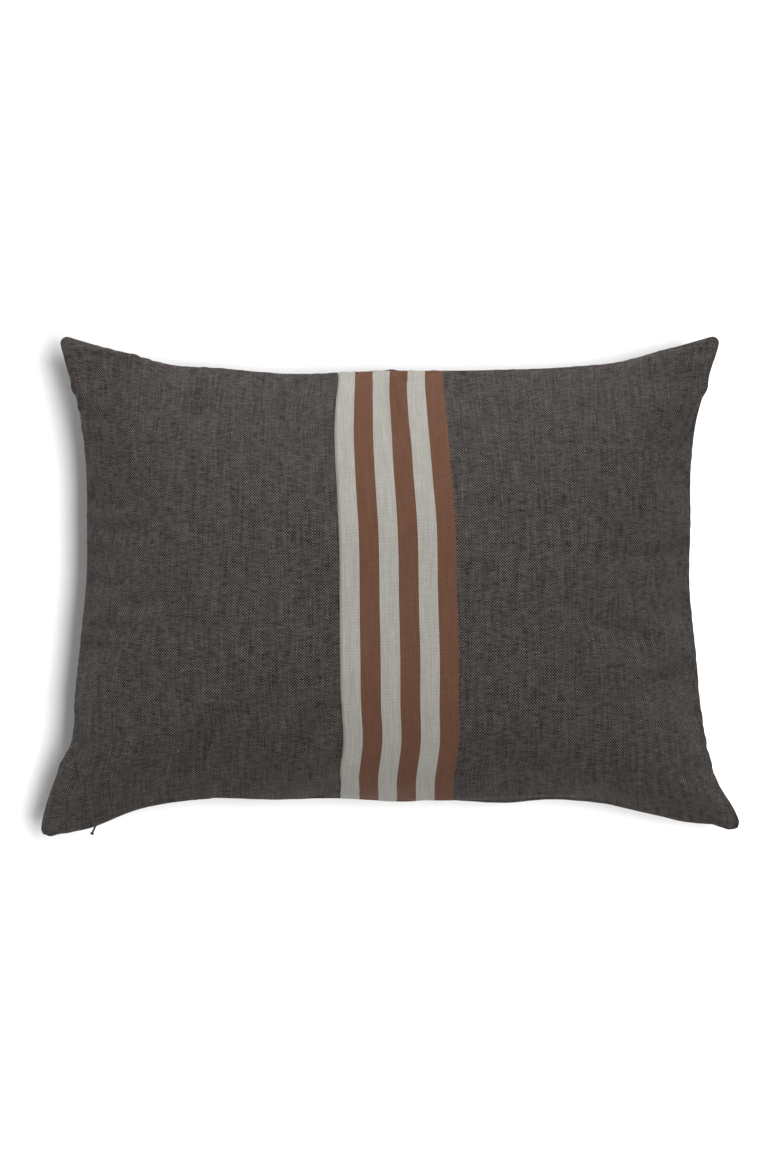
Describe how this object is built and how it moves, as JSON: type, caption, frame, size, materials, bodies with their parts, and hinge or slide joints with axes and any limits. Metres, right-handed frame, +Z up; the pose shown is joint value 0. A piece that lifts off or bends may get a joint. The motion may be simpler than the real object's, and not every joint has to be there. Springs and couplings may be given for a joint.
{
  "type": "throw pillow",
  "caption": "Rectangular throw pillow: a seamed cover in plain and stripe-woven chambray, closed by a concealed zip along one long side, over a soft filled insert.",
  "frame": {"origin": "on the surface the pillow rests on, under the middle of its outline", "axes": "+X along the long side, the stripes left of the middle; +Y away from the zip; +Z up through the front face, the pillow lying on its back"},
  "size_m": [0.694, 0.498, 0.1587],
  "materials": {
    "chambray_front_left": "charcoal chambray, heathered",
    "chambray_striped": "charcoal chambray with woven stripes in pale grey and rust brown",
    "chambray_back": "charcoal chambray, heathered",
    "thread": "spun polyester thread",
    "zip_tape": "woven polyester tape",
    "zip_coil": "polyester coil",
    "zip_stop": "moulded",
    "slider_metal": "black paint",
    "label": "blank satin tape",
    "casing_cotton": "down-proof cotton",
    "filling": "loose feather filling"
  },
  "bodies": {
    "pillow": {"front_left_panel": "chambray_front_left", "front_right_panel": "chambray_striped", "back_panel": "chambray_back", "front_seam_thread": "thread", "cover_seam_thread": "thread", "zipper_tape_front": "zip_tape", "zipper_tape_back": "zip_tape", "zipper_coil_front": "zip_coil", "zipper_coil_back": "zip_coil", "zipper_closed_end_stops": "zip_stop", "zipper_open_end_stop": "zip_stop", "zipper_stitching": "thread", "care_label": "label", "insert_casing_front": "casing_cotton", "insert_casing_back": "casing_cotton", "insert_fill": "filling"},
    "slider": {"zipper_slider": "slider_metal"},
    "pull": {"zipper_pull_tab": "slider_metal"}
  },
  "joints": [
    {"name": "slider_travel", "type": "hinge", "parent": "pillow", "child": "slider", "pos_m": [0.0025, -1.7305, 0.062], "axis": [0, 0, -1], "range_deg": [0, 22]},
    {"name": "pull_swing", "type": "hinge", "parent": "slider", "child": "pull", "pos_m": [-0.29156, -0.23167, 0.062], "axis": [0, 0, 1], "range_deg": [-44, 116]}
  ]
}
